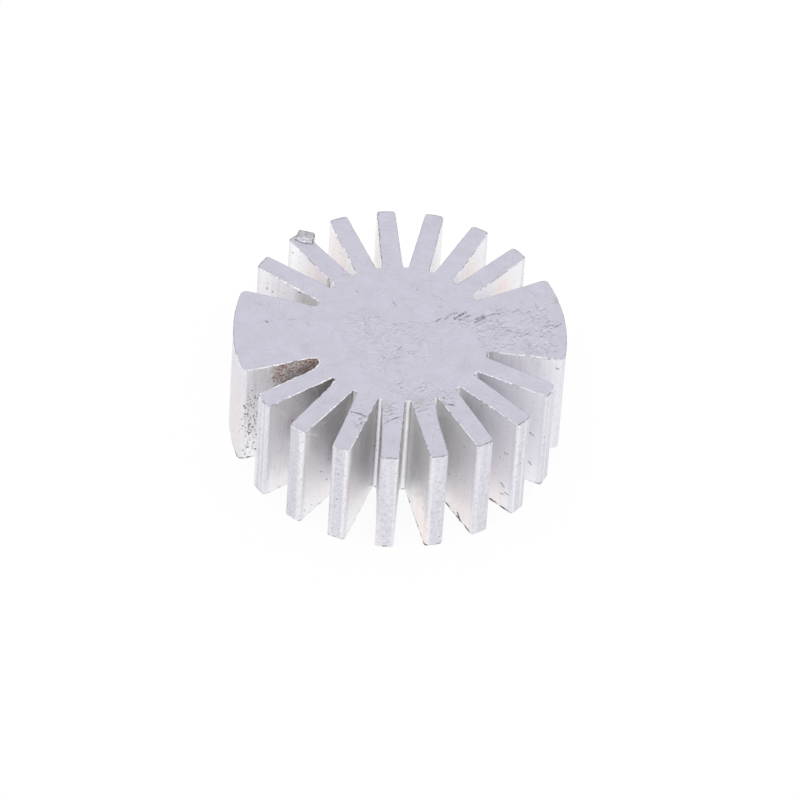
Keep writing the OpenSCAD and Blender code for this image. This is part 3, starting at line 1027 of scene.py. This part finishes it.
def drawn_side():
    """Drawn flanks and tips: pale metal with faint upright die lines, scuffs, specks, the brown stain, and
    painted light and shade.
    """
    graph = Graph("drawn_aluminium")
    paint, blend, noise, value = graph.paint, graph.blend, graph.noise, graph.attribute
    place = graph.millimetres()
    x, y, z = graph.split(place)
    off_core = graph.vector("LENGTH", graph.join(x, y), out="Value").reach(*CORE_EDGE)
    along, tip, warmed = (value(name) for name in ("along", "tip", "warmed"))
    flat = graph.join(along, z)

    def drawn_noise(squeeze, *settings):
        """A noise that is drawn out along the height."""
        return noise(graph.join(along, z * squeeze), *settings)

    streaks = drawn_noise(0.03, 6.0, 3.0, 0.65)
    fine = drawn_noise(0.02, 8.0, 2.0, 0.7)
    bands = drawn_noise(0.08, 2.4, 2.0, 0.5)
    scuffs = drawn_noise(0.6, 4.5, 4.0, 0.7)
    mottle = drawn_noise(0.8, 3.2, 4.0, 0.7)
    cloud = noise(place, 0.9, 3.0, 0.55)
    grain = noise(place, 9.0, 2.0, 0.6)
    graph.base = blend(x.reach(-6.0, 4.0), colour(254.4, 253.5, 254.8), colour(255, 254.5, 255))
    paint(x.reach(1.0, 7.0), 252, 251, 255)
    paint(z.reach(5.0, 0.5, 0.0, 0.25) * off_core, 238, 236, 246)
    # Painted shade: the tips, and the outer rims at half strength, are painted darker than the flanks
    paint(tip, 225, 223, 232)
    # Painted reflection: the pink tint where the flanks reflect the floor
    paint(warmed, 255, 245, 243)
    # Painted shade: the soft darker patches
    paint(value("dulled"), 227, 223, 230)
    paint(value("shaded"), 152, 141, 137)
    paint(streaks.reach(0.42, 0.7, 0.0, 0.04), 205, 203, 209)
    paint(cloud.reach(0.45, 0.8, 0.0, 0.03), 215, 213, 220)
    paint(grain.reach(0.45, 0.75, 0.0, 0.08), 196, 194, 199)
    paint(fine.reach(0.48, 0.62) * value("lined") * 0.4, 170, 167, 176)
    # Painted shade in the creases at the core's wall
    paint(value("crease") * 0.25, 120, 118, 122)
    # Painted reflection: pink flushed bands inside that tint
    paint(bands.reach(0.5, 0.66) * warmed * 0.4, 252, 222, 215)
    worn = scuffs.reach(0.53, 0.7).most(mottle.reach(0.51, 0.67))
    paint(worn * (tip * 0.45), 186, 184, 191)
    pale = bands.reach(0.5, 0.64, 0.0, 0.25).most(mottle.reach(0.46, 0.34, 0.0, 0.6))
    paint(pale * tip, 247, 246, 251)
    # Painted highlights at the tips' corners, uneven with the scuff noise
    paint(value("band") * scuffs.reach(0.35, 0.6, 1.0, 0.5), *WHITE)
    rubbed = graph.bent(flat, 1.6, 0.4)
    paint(hairlines(graph, rubbed, 0.55, 0.035, 0.3) * 0.28, 130, 128, 132)
    paint(hairlines(graph, rubbed.moved(3.7, 5.1), 0.7, 0.035, 0.25) * 0.4, *WHITE)
    paint(specks(graph, flat, 0.6, 0.05, 0.2) * (tip * 0.5), 120, 118, 122)

    grit = noise(place, 6.0, 4.0, 0.8)
    crust = blend(grit.reach(0.42, 0.56), colour(232, 218, 212), colour(116, 92, 83))
    rust = noise(place, 4.5, 3.0, 0.75) + value("rusted") * 0.14
    crust = blend(rust.reach(0.56, 0.66, 0.0, 0.65), crust, colour(140, 76, 60))
    # Painted shade: the stain darkens below a sloping line, lower down the left wedge's flank where the gap
    # is deeper
    stain_shade = (z - x * STAIN_SHADE_SLOPE).reach(*STAIN_SHADE_END, 0.0, 0.5)
    crust = blend(stain_shade, crust, colour(84, 68, 64))
    stain = value("stained") + noise(place, 4.5, 5.0, 0.8) * 1.6
    stain = stain.reach(1.25, 1.8) * 0.95
    graph.base = blend(stain, graph.base, crust)

    pitting = value("pitted") * 0.52
    pits = specks(graph, flat, 0.17, 0.05, pitting)
    pits = pits.most(specks(graph, flat.moved(1.7, 2.9), 0.32, 0.08, pitting)) * 0.8
    stray = specks(graph, flat, 0.9, 0.045, 0.16) * 0.65
    foot = value("foot")
    foot_breaks = noise(flat, 1.8, 3.0, 0.6) + foot * 0.1
    placed = flank_marks(graph, place, FLANK_MARKS, FLANK_MARK_R) * 0.65
    # The pits, stray specks and placed marks are real; the broken line at the foot is painted shadow
    dark = pits.most(stray).most((foot * foot_breaks.reach(0.54, 0.64)).most(placed))
    paint(dark, 84, 80, 80)
    drag = flank_marks(graph, place, PALE_FLANK_MARKS, 0.7 * FLANK_MARK_R)
    paint(drag * 0.6, *WHITE)

    dull = stain.most(dark)
    milky = (x.reach(-6.0, 1.0, 0.0, 0.17) * off_core).most(value("frosted"))
    metallic = 1.0 - milky - dull.most(drag) * 0.75
    rough = streaks.reach(0.3, 0.7, 0.32, 0.38) + dull * 0.3 + tip * 0.1 - value("polished") * 0.16
    return graph.metal(rough, metallic, streaks + stain * grit + grain * 0.4, 0.5, 0.03 * MM)


def cut_face():
    """Saw-cut ends: matte lilac grey, clouded and grained, with scratches, scuffed patches and smudges,
    painted light and shade on the scuffs' ruts and painted shade along the edges.
    """
    graph = Graph("sawn_aluminium")
    paint, blend, noise, value = graph.paint, graph.blend, graph.noise, graph.attribute
    place = graph.millimetres()
    cloud = noise(place, 0.7, 5.0, 0.7)
    grain = noise(place, 7.0, 3.0, 0.7)
    blotches = noise(place, 1.9, 3.0, 0.6)
    handled = value("scuffed")
    graph.base = blend(cloud.reach(0.3, 0.7), colour(202, 200, 212), colour(212, 210, 223))
    paint(grain.reach(0.5, 0.75, 0.0, 0.3), 182, 180, 190)
    paint(blotches.reach(0.5, 0.64, 0.0, 0.7) * handled, 192, 190, 201)
    paint(blotches.reach(0.46, 0.34, 0.0, 0.7) * handled, 220, 218, 229)
    bent = graph.bent(place, 1.3, 0.5)
    lines = hairlines(graph, bent, 0.9, 0.035, 0.2)
    lines = lines.most(hairlines(graph, bent.moved(3.1, 7.7), 1.4, 0.035, 0.2))
    paint(lines * 0.22, 140, 138, 146)
    paint(hairlines(graph, bent.moved(5.3, 1.9), 0.8, 0.04, 0.15) * 0.16, 232, 230, 238)

    scuffed = handled.reach(0.0, 1.0, 0.15, 1.0)
    patchy = noise(place, 1.1).reach(0.35, 0.6)
    rubbed = scuffed * patchy
    slanted = graph.add("Mapping", {"Vector": place, "Rotation": (0, 0, RUB_ANGLE), "Scale": (1.6, 1, 1)},
                        vector_type="TEXTURE")
    # The scuffs' ruts as painted light and shade: a noise less the same noise set a little aside, dark on one
    # side of each rut and light on the other
    ruts, beside = (noise(at, 5.0, 4.0, 0.75, 0.3) for at in (slanted, slanted.moved(0.03, 0.08)))
    rut_light_and_shade = ruts - beside
    paint(rut_light_and_shade.reach(0.03, 0.15, 0.0, 0.85) * rubbed, 128, 126, 134)
    paint(rut_light_and_shade.reach(-0.04, -0.15, 0.0, 0.8) * rubbed, 234, 232, 240)
    wrinkles = graph.add("TexVoronoi", {"Vector": graph.bent(place, 1.1, 1.2), "Scale": 1.2}, "Distance",
                         voronoi_dimensions="2D", feature="DISTANCE_TO_EDGE")
    wrinkles = wrinkles.reach(0.01, 0.045, 1.0, 0.0) * patchy
    paint(wrinkles * (scuffed * 0.45), 146, 144, 152)
    paint(value("smudged") * grain.reach(0.35, 0.65) * 0.5, 158, 148, 130)

    gouge = value("scuff") * (noise(place, 9.0) + 0.55)
    paint(gouge.reach(0.1, 0.95), 84, 83, 88)
    paint(gouge.reach(-0.1, -0.85), 226, 224, 232)
    # Painted shade along the top edges that carry no burr, brown where the stain reaches
    edge = value("edge") * noise(place, 3.0, 4.0, 0.7).reach(0.36, 0.6, 0.15, 0.95)
    edge_colour = blend(value("stained"), colour(140, 136, 137), colour(92, 68, 60))
    graph.base = blend(edge, graph.base, edge_colour)
    return graph.metal(cloud.reach(0.3, 0.7, 0.46, 0.56), 1.0, grain - lines * 0.6, 0.3, 0.02 * MM)


def burr_edge():
    """The thin burr that the saw pushed over the edge: bare bright metal, with painted shadow at the foot of
    the nib.
    """
    graph = Graph("burr_aluminium")
    glint = graph.noise(graph.millimetres(), 7.0, 3.0, 0.7)
    graph.base = graph.blend(glint.reach(0.4, 0.58), colour(205, 203, 211), colour(254, 254, 255))
    # Painted shadow at the foot of the nib
    graph.paint(graph.attribute("foot"), 140, 138, 142)
    return graph.metal(glint.reach(0.3, 0.7, 0.38, 0.26))


def torn_top():
    """The nib's torn top: dull grey metal with a coarse grain and a rim darkened by painted shade."""
    graph = Graph("torn_aluminium")
    grain = graph.noise(graph.millimetres(), 6.0, 4.0, 0.7)
    graph.base = graph.blend(grain.reach(0.35, 0.65), colour(172, 170, 175), colour(206, 204, 209))
    # Painted shade on the rim
    graph.paint(graph.attribute("edge") * 0.85, 112, 110, 114)
    return graph.metal(0.5, 1.0, grain, 0.5, 0.04 * MM)


make_camera()
make_stage()
solid = frame["nodes"][NODE].data
sawn, burr_metal, torn = cut_face(), burr_edge(), torn_top()
make_body([drawn_side(), sawn, burr_metal])
make_nib([torn, burr_metal])
make_curl(torn)
